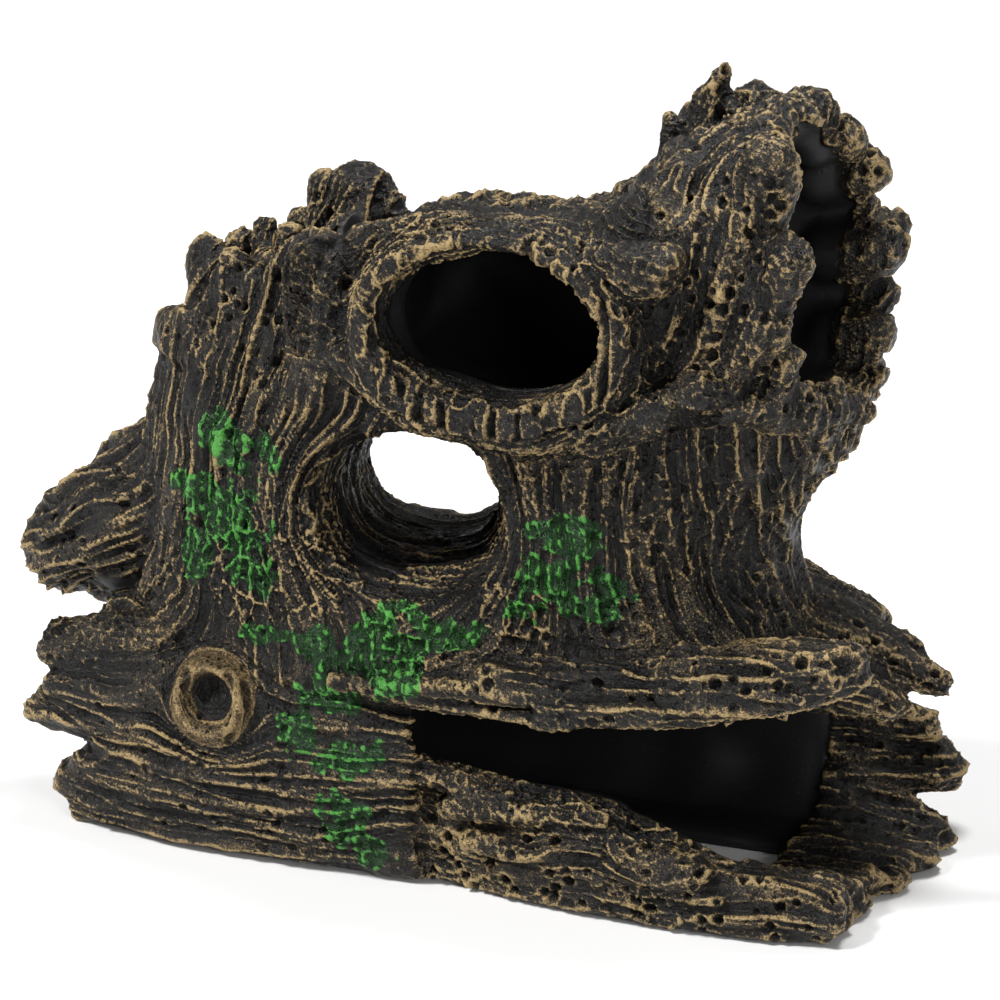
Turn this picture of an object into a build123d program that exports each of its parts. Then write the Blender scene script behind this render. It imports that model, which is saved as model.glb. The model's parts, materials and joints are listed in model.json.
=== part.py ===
from build123d import *
import os
from math import cos, copysign, pi, sin

# Hollow driftwood log ornament for an aquarium, cast in resin as bonded pieces.
# Millimetres.  X runs along the log, +Z is up and the front of the ornament faces -Y.
# The bottom rim stands flat on Z = 0, and the origin is the middle of the footprint.

# ---- driving dimensions -------------------------------------------------------------
LINER = 2.6             # wall of the tunnel's liner
LOG_LEFT = -88.0        # where the plain log wall stops and the ragged left end starts
LOG_RIGHT = 66.0        # where the smooth core stops and the flared mouth starts
STUMP_FOOT = 40.0       # the stump sinks to here between the log's shoulders
STUMP_TOP = 104.0       # level where the upper castings stand on the stump
BRANCH_SEAM = 64.0      # seam between the upper branch and its ragged mouth
WINDOW_START = -3.0     # left end of the long front window
WINDOW_TOP = 45.5       # underside of the arch over the window
FAR = 160.0             # farther than any face of the ornament
SQUARENESS = 2.5        # 2 gives plain ellipses, more gives fuller shoulders
OUTLINE_POINTS = 12

OVAL_CENTRE = (14.0, 122.0)     # X, Z of the oval front opening
OVAL_SIZE = (45.0, 27.0)
KNOT_CENTRE = (-49.0, 34.5)     # X, Z of the knot on the front of the log
KNOT_RADIUS = 9.8
KNOT_HOLE_RADIUS = 5.4

# Stations of the limbs: position along the limb, centre of the outline, its full size.
LOG_OUTER = [
    (LOG_LEFT, (-1, 14), (66, 60)),
    (-68, (0, 16), (79, 72)),
    (-25, (-1, 18), (81, 76)),
    (22, (-1, 18), (81, 76)),
    (LOG_RIGHT, (-1, 17), (79, 72)),
]
LOG_CORE = [
    (LOG_LEFT, (-3, 21), (50, 42)),
    (-60, (-5, 22), (63, 50)),
    (0, (-5, 22), (65, 50)),
    (LOG_RIGHT, (-4, 23), (61, 48)),
]
LEFT_END_OUTER = [
    (LOG_LEFT, (-1, 14), (66, 60)),
    (-112, (-2, 9), (62, 50)),
]
LEFT_END_CORE = [
    (LOG_LEFT, (-3, 21), (50, 42)),
    (-112, (-4, 18), (52, 34)),
]
FLARE_OUTER = [
    (LOG_RIGHT, (-1, 17), (79, 72)),
    (84, (0, 14), (76, 58)),
    (102, (2, 12), (62, 48)),
]
FLARE_CORE = [
    (LOG_RIGHT, (-4, 25), (61, 42)),
    (84, (0, 22), (62, 35)),
    (102, (2, 19), (52, 30)),
]
SILL = [
    (WINDOW_START, (-32, 13), (14, 36)),
    (24, (-34, 8), (15, 32)),
    (44, (-35, 7), (16, 29)),
    (56, (-35, 5), (16, 22)),
    (74, (-35, 4), (15, 18)),
    (88, (-31, 6), (8, 13)),
]
LINTEL = [
    (-14, (-36, 43), (8, 7)),
    (14, (-37, 46), (15, 12)),
    (56, (-37, 51), (16, 13)),
    (78, (-33, 55), (14, 12)),
    (90, (-28, 57), (6, 7)),
]
STUMP_OUTER = [
    (STUMP_FOOT, (-4, -1), (156, 78)),
    (56, (-6, -1), (148, 75)),
    (68, (-8, -1), (143, 73)),
    (86, (-4, -1), (148, 71)),
    (STUMP_TOP, (2, -2), (151, 66)),
]
TUNNEL = [
    (-46, (-4, 80), (50, 38)),
    (-30, (-7, 79), (43, 33)),
    (0, (-17, 75), (37, 29)),
    (30, (-26, 71), (36, 28)),
    (46, (-30, 70), (42, 32)),
]
BRANCH_OUTER = [
    (-30, (-4, 115), (30, 24)),
    (-14, (-5, 115), (58, 40)),
    (8, (-5, 115), (66, 44)),
    (25, (-5, 117), (66, 48)),
    (36, (-4, 122), (66, 55)),
    (49, (-3.5, 128), (66, 62)),
    (BRANCH_SEAM, (-3, 131), (64, 67)),
]
BRANCH_CORE = [
    (-21, (-5, 116), (34, 22)),
    (8, (-5, 116), (54, 33)),
    (25, (-5, 117.5), (54, 37)),
    (36, (-4, 122), (54, 43)),
    (49, (-3.5, 128), (54, 50)),
    (BRANCH_SEAM, (-3, 132), (53, 56)),
]
SPIKE = [
    (150, (48.5, -4), (17, 12)),
    (163, (49.5, -3), (10, 8)),
    (172, (49.8, -3), (2.6, 2.6)),
]
MOUTH_OUTER = [
    (BRANCH_SEAM, (-3, 131), (64, 67)),
    (84, (-1, 128), (56, 59)),
]
MOUTH_CORE = [
    (BRANCH_SEAM, (-3, 132), (53, 56)),
    (84, (-1, 129), (47, 50)),
]
CROWN_OUTER = [
    (STUMP_TOP, (-45, -2), (58, 58)),
    (124, (-45, -3), (48, 48)),
    (150, (-43, -4), (40, 40)),
]
CROWN_HOLLOW = [
    (112, (-45, -2), (20, 20)),
    (150, (-43, -3), (30, 30)),
]
COLLAR = [
    (-24, (15, 118), (68, 46)),
    (-36, (15, 118), (65, 44)),
    (-45, (15, 119.5), (55, 36)),
]


# ---- helpers ------------------------------------------------------------------------
def rounded(value):
    """Push a cosine or sine outward, so that an ellipse gets fuller shoulders."""
    return copysign(abs(value) ** (2 / SQUARENESS), value)


def outline(centre, size):
    """Points of a closed, rounded outline."""
    points = []
    for step in range(OUTLINE_POINTS):
        angle = 2 * pi * (step + 0.5) / OUTLINE_POINTS
        across = centre[0] + size[0] / 2 * rounded(cos(angle))
        up = centre[1] + size[1] / 2 * rounded(sin(angle))
        points.append((across, up))
    return points


def limb(stations, plane_at):
    """Loft a limb through closed spline outlines, one at each station."""
    with BuildPart() as body:
        for position, centre, size in stations:
            with BuildSketch(plane_at(position)):
                with BuildLine():
                    Spline(*outline(centre, size), periodic=True)
                make_face()
        loft()
    return body.part


def across_x(position):
    """Plane square to X: outlines are given as (Y, Z)."""
    return Plane.YZ.offset(position)


def across_y(position):
    """Plane square to Y: outlines are given as (X, Z)."""
    return Plane.XZ.offset(-position)


def across_z(position):
    """Plane square to Z: outlines are given as (X, Y)."""
    return Plane.XY.offset(position)


def root(path, sizes):
    """Loft a root along a path of points, square to the path, with a size at each point."""
    with BuildPart() as body:
        for index, (point, size) in enumerate(zip(path, sizes)):
            before = Vector(*path[max(index - 1, 0)])
            after = Vector(*path[min(index + 1, len(path) - 1)])
            section = Plane(origin=point, x_dir=(0, 1, 0), z_dir=after - before)
            with BuildSketch(section):
                with BuildLine():
                    Spline(*outline((0, 0), size), periodic=True)
                make_face()
        loft()
    return body.part


def prism(plane, corners, start, end):
    """Extrude a polygon drawn on a plane from one offset to another."""
    with BuildPart() as body:
        with BuildSketch(plane.offset(start)):
            with BuildLine():
                Polyline(*corners, close=True)
            make_face()
        extrude(amount=end - start)
    return body.part


def ragged(edge, outside, plane, start, end):
    """Cutter that takes away everything past a broken edge, out to a line beyond it."""
    first, last = edge[0], edge[-1]
    corners = edge + [(outside, last[1]), (outside, first[1])]
    return prism(plane, corners, start, end)


# ---- whole limbs, before they are cut into castings -----------------------------------
log_outer = limb(LOG_OUTER, across_x)
log_core = limb(LOG_CORE, across_x)
stump_outer = limb(STUMP_OUTER, across_z)
tunnel_bore = limb(TUNNEL, across_y)
tunnel_wall = limb(
    [(y, centre, (size[0] + 2 * LINER, size[1] + 2 * LINER)) for y, centre, size in TUNNEL],
    across_y,
)
branch_outer = limb(BRANCH_OUTER, across_x)
branch_core = limb(BRANCH_CORE, across_x)
branch_spike = limb(SPIKE, across_z)
collar_outer = limb(COLLAR, across_y)
castings = []


def largest(builder):
    """The main body of a casting, without crumbs that a cut leaves loose."""
    return Part() + builder.part.solids().sort_by(SortBy.VOLUME)[-1]


def finish(name, part):
    """Name a finished casting and keep it for export."""
    part.label = name
    castings.append(part)


# ---- lower log ------------------------------------------------------------------------
window = prism(
    Plane.XZ,
    [(WINDOW_START, -20), (LOG_RIGHT + 1, -20), (LOG_RIGHT + 1, WINDOW_TOP),
     (WINDOW_START + 8, WINDOW_TOP - 3), (WINDOW_START, WINDOW_TOP - 9)],
    0, FAR,
)

with BuildPart() as log_front_shell:
    add(log_outer)
    add(log_core, mode=Mode.SUBTRACT)
    split(bisect_by=Plane.XZ, keep=Keep.TOP)
    split(bisect_by=Plane.XY, keep=Keep.TOP)
    add(window, mode=Mode.SUBTRACT)
finish("log_front_shell", log_front_shell.part)

with BuildPart() as log_rear_shell:
    add(log_outer)
    add(log_core, mode=Mode.SUBTRACT)
    split(bisect_by=Plane.XZ, keep=Keep.BOTTOM)
    split(bisect_by=Plane.XY, keep=Keep.TOP)
finish("log_rear_shell", log_rear_shell.part)

# Broken strakes at the left end, a different edge on the front and on the rear.
front_break = [
    (-90, -5), (-94, 0), (-96, 5), (-92, 8), (-89.5, 11), (-90, 14), (-100, 18.5), (-95, 22),
    (-97, 26), (-99.5, 31), (-100, 35), (-95, 44), (-93, 60),
]
rear_break = [
    (-94, -5), (-96, 4), (-99, 9), (-92, 15), (-96, 22), (-91, 27), (-97, 33), (-93, 40), (-94, 60),
]
left_end_outer = limb(LEFT_END_OUTER, across_x)
with BuildPart() as log_left_crown:
    add(left_end_outer)
    add(limb(LEFT_END_CORE, across_x), mode=Mode.SUBTRACT)
    split(bisect_by=Plane.XY, keep=Keep.TOP)
    add(ragged(front_break, -FAR, Plane.XZ, 0, FAR), mode=Mode.SUBTRACT)
    add(ragged(rear_break, -FAR, Plane.XZ, -FAR, 0), mode=Mode.SUBTRACT)
finish("log_left_crown", log_left_crown.part)

with BuildPart() as window_sill:
    add(limb(SILL, across_x))
    split(bisect_by=Plane.XY, keep=Keep.TOP)
finish("window_sill", window_sill.part)

# Flared right mouth with a floor.  Its front is broken down to the sill.
mouth_slope = prism(Plane.YZ, [(-60, 8), (-20, 11), (10, 22), (60, 30), (60, 90), (-60, 90)], 0, FAR)
mouth_break = [
    (82, -60), (84, -34), (82, -28), (90, -21), (86, -13), (94, -6), (90, 1), (96, 8),
    (91, 14), (96, 21), (91, 27), (94, 33), (88, 60),
]
with BuildPart() as log_right_flare:
    add(limb(FLARE_OUTER, across_x))
    add(limb(FLARE_CORE, across_x), mode=Mode.SUBTRACT)
    split(bisect_by=Plane.XY, keep=Keep.TOP)
    add(mouth_slope, mode=Mode.SUBTRACT)
    add(ragged(mouth_break, FAR, Plane.XY, -5, FAR), mode=Mode.SUBTRACT)
    add(window_sill.part, mode=Mode.SUBTRACT)
finish("log_right_flare", largest(log_right_flare))

# ---- knot on the front of the log ---------------------------------------------------------
with BuildPart() as knot_boss:
    with BuildSketch(Plane.XZ.offset(30)):
        with Locations(KNOT_CENTRE):
            Circle(KNOT_RADIUS + 1.5)
    with BuildSketch(Plane.XZ.offset(44)):
        with Locations(KNOT_CENTRE):
            Circle(KNOT_RADIUS - 2)
    loft()

with BuildPart() as knot_ring:
    add(knot_boss.part)
    with Locations(Plane.XZ.offset(44)):
        with Locations(KNOT_CENTRE):
            Hole(KNOT_HOLE_RADIUS)
    add(log_outer, mode=Mode.SUBTRACT)
finish("knot_ring", knot_ring.part)

# ---- stump with its tunnel --------------------------------------------------------------
with BuildPart() as stump_body:
    add(stump_outer)
    add(log_outer, mode=Mode.SUBTRACT)
    add(branch_outer, mode=Mode.SUBTRACT)
    add(tunnel_wall, mode=Mode.SUBTRACT)
    add(knot_boss.part, mode=Mode.SUBTRACT)
stump_block = largest(stump_body)

with BuildPart() as stump_front_half:
    add(stump_block)
    split(bisect_by=Plane.XZ, keep=Keep.TOP)
finish("stump_front_half", stump_front_half.part)

with BuildPart() as stump_rear_half:
    add(stump_block)
    split(bisect_by=Plane.XZ, keep=Keep.BOTTOM)
finish("stump_rear_half", stump_rear_half.part)

with BuildPart() as tunnel_sleeve:
    add(tunnel_wall)
    add(stump_outer, mode=Mode.INTERSECT)
    add(log_outer, mode=Mode.SUBTRACT)
    add(branch_outer, mode=Mode.SUBTRACT)
    add(tunnel_bore, mode=Mode.SUBTRACT)
finish("tunnel_sleeve", tunnel_sleeve.part)

crown_break = [
    (-84, 112), (-76, 115), (-69, 124), (-65, 121), (-60, 126), (-56, 123), (-50, 131), (-45, 129),
    (-41, 139), (-36, 138), (-32, 141), (-27, 137), (-24, 124), (-16, 116), (0, 112),
]
with BuildPart() as stump_left_crown:
    add(limb(CROWN_OUTER, across_z))
    add(limb(CROWN_HOLLOW, across_z), mode=Mode.SUBTRACT)
    add(branch_outer, mode=Mode.SUBTRACT)
    add(
        prism(Plane.XZ, crown_break + [(0, FAR), (-84, FAR)], -FAR, FAR),
        mode=Mode.SUBTRACT,
    )
finish("stump_left_crown", stump_left_crown.part)

# ---- roots --------------------------------------------------------------------------------
with BuildPart() as left_root:
    add(root(
        [(-62, -2, 70), (-82, -4, 62), (-98, -5, 54), (-108, -6, 49)],
        [(42, 42), (32, 33), (22, 23), (9, 12)],
    ))
    add(stump_outer, mode=Mode.SUBTRACT)
    add(log_outer, mode=Mode.SUBTRACT)
    add(left_end_outer, mode=Mode.SUBTRACT)
finish("left_root", left_root.part)

with BuildPart() as right_root:
    add(root(
        [(50, 8, 51), (70, 10, 46), (86, 12, 41.5), (98, 14, 38)],
        [(54, 26), (44, 19), (32, 12), (18, 7)],
    ))
    add(stump_outer, mode=Mode.SUBTRACT)
    add(log_outer, mode=Mode.SUBTRACT)
    add(log_right_flare.part, mode=Mode.SUBTRACT)
finish("right_root", right_root.part)

with BuildPart() as window_lintel:
    add(limb(LINTEL, across_x))
    add(log_outer, mode=Mode.SUBTRACT)
    add(stump_outer, mode=Mode.SUBTRACT)
    add(right_root.part, mode=Mode.SUBTRACT)
finish("window_lintel", window_lintel.part)

# ---- upper branch ---------------------------------------------------------------------------
with BuildPart() as oval_bore:
    with BuildSketch(Plane.XZ.offset(12)):
        with Locations(OVAL_CENTRE):
            Ellipse(OVAL_SIZE[0] / 2, OVAL_SIZE[1] / 2)
    extrude(amount=60, taper=-4)

with BuildPart() as branch_front_shell:
    add(branch_outer)
    add(branch_spike)
    add(branch_core, mode=Mode.SUBTRACT)
    add(oval_bore.part, mode=Mode.SUBTRACT)
    split(bisect_by=Plane.XZ, keep=Keep.TOP)
finish("branch_front_shell", branch_front_shell.part)

with BuildPart() as branch_rear_shell:
    add(branch_outer)
    add(branch_spike)
    add(branch_core, mode=Mode.SUBTRACT)
    split(bisect_by=Plane.XZ, keep=Keep.BOTTOM)
finish("branch_rear_shell", branch_rear_shell.part)

with BuildPart() as oval_collar:
    add(collar_outer)
    add(oval_bore.part, mode=Mode.SUBTRACT)
    add(branch_outer, mode=Mode.SUBTRACT)
    add(stump_outer, mode=Mode.SUBTRACT)
    add(stump_left_crown.part, mode=Mode.SUBTRACT)
finish("oval_collar", oval_collar.part)

near_break = [
    (76, 96), (77, 104), (71, 112), (75, 119), (68, 126), (73, 134), (67, 143), (72, 153),
    (66, 160), (66, 175),
]
far_break = [
    (78, 96), (80, 104), (75, 109), (79, 118), (75, 126), (80, 134), (74, 141), (77, 150),
    (70, 156), (71, 175),
]
with BuildPart() as branch_mouth_crown:
    add(limb(MOUTH_OUTER, across_x))
    add(limb(MOUTH_CORE, across_x), mode=Mode.SUBTRACT)
    add(ragged(near_break, FAR, Plane.XZ, 6, FAR), mode=Mode.SUBTRACT)
    add(ragged(far_break, FAR, Plane.XZ, -FAR, 6), mode=Mode.SUBTRACT)
    add(stump_outer, mode=Mode.SUBTRACT)
finish("branch_mouth_crown", branch_mouth_crown.part)

# ---- put the origin in the middle of the footprint and export ------------------------------------
os.makedirs("parts", exist_ok=True)
boxes = [casting.bounding_box() for casting in castings]
middle_x = (min(box.min.X for box in boxes) + max(box.max.X for box in boxes)) / 2
middle_y = (min(box.min.Y for box in boxes) + max(box.max.Y for box in boxes)) / 2
to_origin = Location((-middle_x, -middle_y, 0))
for casting in castings:
    placed = casting.moved(to_origin)
    placed.label = casting.label
    export_step(placed, f"parts/{casting.label}.step")
    print(casting.label, len(placed.solids()), round(placed.volume))
print(f"moved to the origin by {-middle_x:.2f}, {-middle_y:.2f}")
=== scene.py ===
import json
import math

import bpy
import numpy as np
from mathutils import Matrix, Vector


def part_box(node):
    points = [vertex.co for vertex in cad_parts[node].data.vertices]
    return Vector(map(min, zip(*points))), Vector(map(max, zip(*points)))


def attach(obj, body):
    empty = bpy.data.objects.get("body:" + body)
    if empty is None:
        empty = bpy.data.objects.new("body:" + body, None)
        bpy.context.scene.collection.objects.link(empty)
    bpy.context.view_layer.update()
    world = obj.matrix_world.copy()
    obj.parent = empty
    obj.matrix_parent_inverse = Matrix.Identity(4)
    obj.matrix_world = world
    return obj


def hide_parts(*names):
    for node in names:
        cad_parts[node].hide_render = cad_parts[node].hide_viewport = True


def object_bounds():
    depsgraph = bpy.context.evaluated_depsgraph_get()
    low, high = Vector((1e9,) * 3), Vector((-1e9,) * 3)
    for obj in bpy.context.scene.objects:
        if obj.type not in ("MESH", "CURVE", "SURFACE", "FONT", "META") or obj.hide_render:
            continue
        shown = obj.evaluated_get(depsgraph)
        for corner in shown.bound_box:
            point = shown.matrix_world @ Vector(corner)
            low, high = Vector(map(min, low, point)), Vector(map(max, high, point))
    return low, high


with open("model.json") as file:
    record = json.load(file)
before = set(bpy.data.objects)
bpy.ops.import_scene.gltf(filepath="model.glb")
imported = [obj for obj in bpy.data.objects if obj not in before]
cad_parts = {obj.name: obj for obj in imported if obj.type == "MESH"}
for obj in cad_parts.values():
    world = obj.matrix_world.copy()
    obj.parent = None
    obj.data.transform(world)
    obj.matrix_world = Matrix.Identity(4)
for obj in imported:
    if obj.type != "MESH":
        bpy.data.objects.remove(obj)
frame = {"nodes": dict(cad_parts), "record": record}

import openvdb
from mathutils import Vector

# A hollow driftwood log ornament.  Each casting of the frame becomes a level set.  Their union is
# rounded, trimmed and splintered, and cut again at the castings' own borders.  Every piece then gets
# its bark relief and its paint.  Lengths in the sculpting are millimetres, in the row frame.

CAD_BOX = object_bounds()
MM = 0.001
VOXEL = 0.52      # size of a sculpting cell
BAND = 8.0                          # distance from the surface that the level sets know
WELD = 0.4                          # gaps up to twice this between castings are closed
TUCK = 1.2                          # how far a piece reaches under its neighbour's bark
RELIEF = 1.3                        # overall strength of the bark relief
SEED = 11


# ---- places taken from the frame -----------------------------------------------------------------
def box_mm(node):
    low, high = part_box(node)
    return np.array(low) / MM, np.array(high) / MM


def opening_mm(name):
    for opening in frame["record"]["physics"]["openings"]:
        if opening["name"] == name:
            low, high = np.array(opening["box_m"]) / MM
            return low, high
    raise KeyError(name)


def middle(pair):
    return (pair[0] + pair[1]) / 2


NODES = sorted(frame["nodes"])
LOW = np.array(CAD_BOX[0]) / MM - 7.0
HIGH = np.array(CAD_BOX[1]) / MM + 9.0
LOW[2] = -2.0
SHAPE = tuple(int(n) for n in np.ceil((HIGH - LOW) / VOXEL))

KNOT = middle(box_mm("knot_ring"))
KNOT_FRONT = box_mm("knot_ring")[0][1]
OVAL = middle(box_mm("oval_collar"))
TUNNEL_FRONT = middle(opening_mm("tunnel_front"))
TUNNEL_REAR = middle(opening_mm("tunnel_rear"))
CAVE = middle(opening_mm("cave_interior"))
FLARE_BOX = box_mm("log_right_flare")
MOUTH_BOX = box_mm("branch_mouth_crown")
LEFT_BOX = box_mm("log_left_crown")


# ---- random fields -------------------------------------------------------------------------------
RANDOM = np.random.default_rng(SEED)
LATTICE = 64
VALUES = RANDOM.uniform(-1, 1, LATTICE ** 3).astype(np.float32)
CELLS = 32
JITTER = RANDOM.uniform(0.08, 0.92, (CELLS ** 3, 3)).astype(np.float32)


def noise(x, y, z):
    """Smooth value noise between -1 and 1, at points given by three arrays."""
    parts = []
    for values in (x, y, z):
        whole = np.floor(values)
        part = (values - whole).astype(np.float32)
        low = whole.astype(np.int32) & (LATTICE - 1)
        parts.append((low, (low + 1) & (LATTICE - 1), part * part * (3 - 2 * part)))
    (x0, x1, fx), (y0, y1, fy), (z0, z1, fz) = parts
    total = 0
    for xi, wx in ((x0, 1 - fx), (x1, fx)):
        for yi, wy in ((y0, 1 - fy), (y1, fy)):
            base = (xi * LATTICE + yi) * LATTICE
            total = total + wx * wy * (VALUES[base + z0] * (1 - fz) + VALUES[base + z1] * fz)
    return total


def cellular(x, y, z):
    """Distances to the nearest and second nearest of one random point per unit cell."""
    point = np.stack([x, y, z], 1).astype(np.float32)
    home = np.floor(point).astype(np.int32)
    first = np.full(len(point), 9.0, np.float32)
    second = first.copy()
    for dx in (-1, 0, 1):
        for dy in (-1, 0, 1):
            for dz in (-1, 0, 1):
                cell = home + np.array([dx, dy, dz], np.int32)
                wrapped = cell & (CELLS - 1)
                index = (wrapped[:, 0] * CELLS + wrapped[:, 1]) * CELLS + wrapped[:, 2]
                gap = JITTER[index] + cell - point
                distance = np.sqrt((gap * gap).sum(1))
                second = np.minimum(second, np.maximum(first, distance))
                first = np.minimum(first, distance)
    return first, second


def smooth(low, high, value):
    t = np.clip((value - low) / (high - low), 0, 1)
    return t * t * (3 - 2 * t)


# ---- level sets ----------------------------------------------------------------------------------
def blank():
    return np.full(SHAPE, BAND, np.float32)


def level_set(points, triangles=None, quads=None):
    """Signed distance to a closed mesh, in millimetres, on the whole sculpting grid."""
    grid = openvdb.FloatGrid.createLevelSetFromPolygons(
        np.ascontiguousarray(points - LOW, np.float32),
        triangles=triangles,
        quads=quads,
        transform=openvdb.createLinearTransform(VOXEL),
        halfWidth=BAND / VOXEL,
    )
    distances = blank()
    grid.copyToArray(distances)
    return distances


def surface(distances, corner=(0, 0, 0)):
    """Mesh of a signed distance array's zero level: points in millimetres, quads."""
    grid = openvdb.FloatGrid(BAND)
    grid.transform = openvdb.createLinearTransform(VOXEL)
    grid.copyFromArray(np.ascontiguousarray(distances))
    points, triangles, quads = grid.convertToPolygons(0.0, 0.0)
    return points + LOW + np.array(corner) * VOXEL, triangles, quads


def blur(field, sigma):
    """Gaussian blur along the three axes, sigma in millimetres."""
    reach = max(1, int(round(2.5 * sigma / VOXEL)))
    steps = np.arange(-reach, reach + 1)
    weights = np.exp(-0.5 * (steps * VOXEL / sigma) ** 2)
    weights /= weights.sum()
    for axis in range(3):
        size = field.shape[axis]
        padded = np.pad(field, [(reach, reach) if a == axis else (0, 0) for a in range(3)], mode="edge")
        blurred = np.zeros_like(field)
        for offset, weight in enumerate(weights):
            cut = [slice(None)] * 3
            cut[axis] = slice(offset, offset + size)
            blurred += np.float32(weight) * padded[tuple(cut)]
        field = blurred
    return field


def sample(field, points, corner=(0, 0, 0)):
    """Trilinear value of a grid array at points in millimetres."""
    place = (points - LOW) / VOXEL - np.array(corner)
    limit = np.array(field.shape) - 2
    whole = np.clip(np.floor(place).astype(np.int32), 0, limit)
    part = np.clip(place - whole, 0, 1).astype(np.float32)
    total = 0
    for dx in (0, 1):
        for dy in (0, 1):
            for dz in (0, 1):
                weight = (
                    (part[:, 0] if dx else 1 - part[:, 0])
                    * (part[:, 1] if dy else 1 - part[:, 1])
                    * (part[:, 2] if dz else 1 - part[:, 2])
                )
                total = total + weight * field[whole[:, 0] + dx, whole[:, 1] + dy, whole[:, 2] + dz]
    return total


def window_of(low, high, margin):
    """Slices of the grid that cover a box in millimetres."""
    first = np.clip(np.floor((low - margin - LOW) / VOXEL).astype(int), 0, np.array(SHAPE) - 2)
    last = np.clip(np.ceil((high + margin - LOW) / VOXEL).astype(int), first + 2, SHAPE)
    return tuple(slice(a, b) for a, b in zip(first, last))


def axes_of(cut):
    """Coordinates of the cells in a window, ready to broadcast."""
    lines = [LOW[a] + VOXEL * np.arange(cut[a].start, cut[a].stop) for a in range(3)]
    return (
        lines[0][:, None, None].astype(np.float32),
        lines[1][None, :, None].astype(np.float32),
        lines[2][None, None, :].astype(np.float32),
    )


def node_mesh(node):
    mesh = frame["nodes"][node].data
    points = np.empty(len(mesh.vertices) * 3, np.float32)
    mesh.vertices.foreach_get("co", points)
    mesh.calc_loop_triangles()
    triangles = np.empty(len(mesh.loop_triangles) * 3, np.int32)
    mesh.loop_triangles.foreach_get("vertices", triangles)
    return points.reshape(-1, 3) / MM, triangles.reshape(-1, 3).astype(np.uint32)


def soft_union(a, b, radius):
    """Union of two distance arrays with a fillet."""
    blend = np.clip(0.5 + 0.5 * (b - a) / radius, 0, 1)
    return b + (a - b) * blend - radius * blend * (1 - blend)


def add_horn(field, base, tip, base_radius, tip_radius, fillet=2.0):
    """Weld a tapering splinter with rounded ends to the field."""
    base, tip = np.array(base, float), np.array(tip, float)
    reach = max(base_radius, tip_radius) + fillet + 3
    cut = window_of(np.minimum(base, tip), np.maximum(base, tip), reach)
    x, y, z = axes_of(cut)
    along = tip - base
    share = ((x - base[0]) * along[0] + (y - base[1]) * along[1] + (z - base[2]) * along[2]) / (along @ along)
    share = np.clip(share, 0, 1)
    gap = np.sqrt(
        (x - base[0] - share * along[0]) ** 2
        + (y - base[1] - share * along[1]) ** 2
        + (z - base[2] - share * along[2]) ** 2
    )
    horn = gap - (base_radius + (tip_radius - base_radius) * share)
    field[cut] = soft_union(field[cut], horn.astype(np.float32), fillet)


def carve(field, centre, radii, fillet=2.0):
    """Scoop an ellipsoid out of the field."""
    centre, radii = np.array(centre, float), np.array(radii, float)
    cut = window_of(centre - radii, centre + radii, fillet + 3)
    x, y, z = axes_of(cut)
    ball = np.sqrt(
        ((x - centre[0]) / radii[0]) ** 2
        + ((y - centre[1]) / radii[1]) ** 2
        + ((z - centre[2]) / radii[2]) ** 2
    )
    scoop = ((ball - 1) * radii.min()).astype(np.float32)
    field[cut] = -soft_union(-field[cut], scoop, fillet)


def splinter(field, low, high, axis, sign, start, centre, pitch, throw, seed):
    """Shift a broken end in and out along its grain, by an amount that changes round the limb."""
    cut = window_of(np.array(low, float), np.array(high, float), 0)
    coordinates = axes_of(cut)
    others = [a for a in range(3) if a != axis]
    u, v = coordinates[others[0]], coordinates[others[1]]
    radius = np.sqrt((u - centre[0]) ** 2 + (v - centre[1]) ** 2) + 6
    shape = np.broadcast_shapes(u.shape, v.shape)
    du = np.broadcast_to((u - centre[0]) / radius, shape).ravel()
    dv = np.broadcast_to((v - centre[1]) / radius, shape).ravel()
    mean = float(radius.mean())
    du, dv = du * mean / pitch, dv * mean / pitch
    shift = noise(du + seed, dv, np.full(du.shape, seed * 1.7))
    shift = shift + 0.6 * noise(du * 2.3, dv * 2.3 + seed, np.full(du.shape, 0.5))
    shift = (throw * shift).reshape(shape).astype(np.float32)
    ramp = smooth(sign * start, sign * start + throw * 2.5, sign * coordinates[axis])
    block = np.moveaxis(field[cut], axis, 0)
    moved = np.broadcast_to(np.moveaxis(sign * shift * ramp / VOXEL, axis, 0), block.shape)
    place = np.arange(block.shape[0], dtype=np.float32)[:, None, None] - moved
    place = np.clip(place, 0, block.shape[0] - 1.001)
    whole = place.astype(np.int32)
    part = place - whole
    result = np.take_along_axis(block, whole, 0) * (1 - part) + np.take_along_axis(block, whole + 1, 0) * part
    field[cut] = np.moveaxis(result, 0, axis)


def trim(field, low, high, across, along, sign, lean, profile):
    """Cut a limb off along a broken line: profile gives the limit along one axis for places on another.

    lean is how far the line moves, on each of the two axes, for a millimetre towards the front.
    """
    cut = window_of(np.array(low, float), np.array(high, float), 0)
    coordinates = axes_of(cut)
    places, limits = np.array(profile, float).T
    depth = coordinates[1]
    limit = np.interp(coordinates[across] - lean[0] * depth, places, limits).astype(np.float32)
    overshoot = sign * (coordinates[along] - lean[1] * depth - limit)
    field[cut] = -soft_union(-field[cut], (-0.8 * overshoot).astype(np.float32), 1.5)


def restore(field, node, low, high):
    """Put a casting's own body back inside a box, where a trim came too close to the hollow under it."""
    own_cut, own = node_sets[node]
    box = window_of(np.array(low, float), np.array(high, float), 0)
    shared = [(max(a.start, b.start), min(a.stop, b.stop)) for a, b in zip(own_cut, box)]
    mine = tuple(slice(start - a.start, stop - a.start) for (start, stop), a in zip(shared, own_cut))
    whole = tuple(slice(start, stop) for start, stop in shared)
    field[whole] = soft_union(field[whole], own[mine], 1.5)


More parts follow.
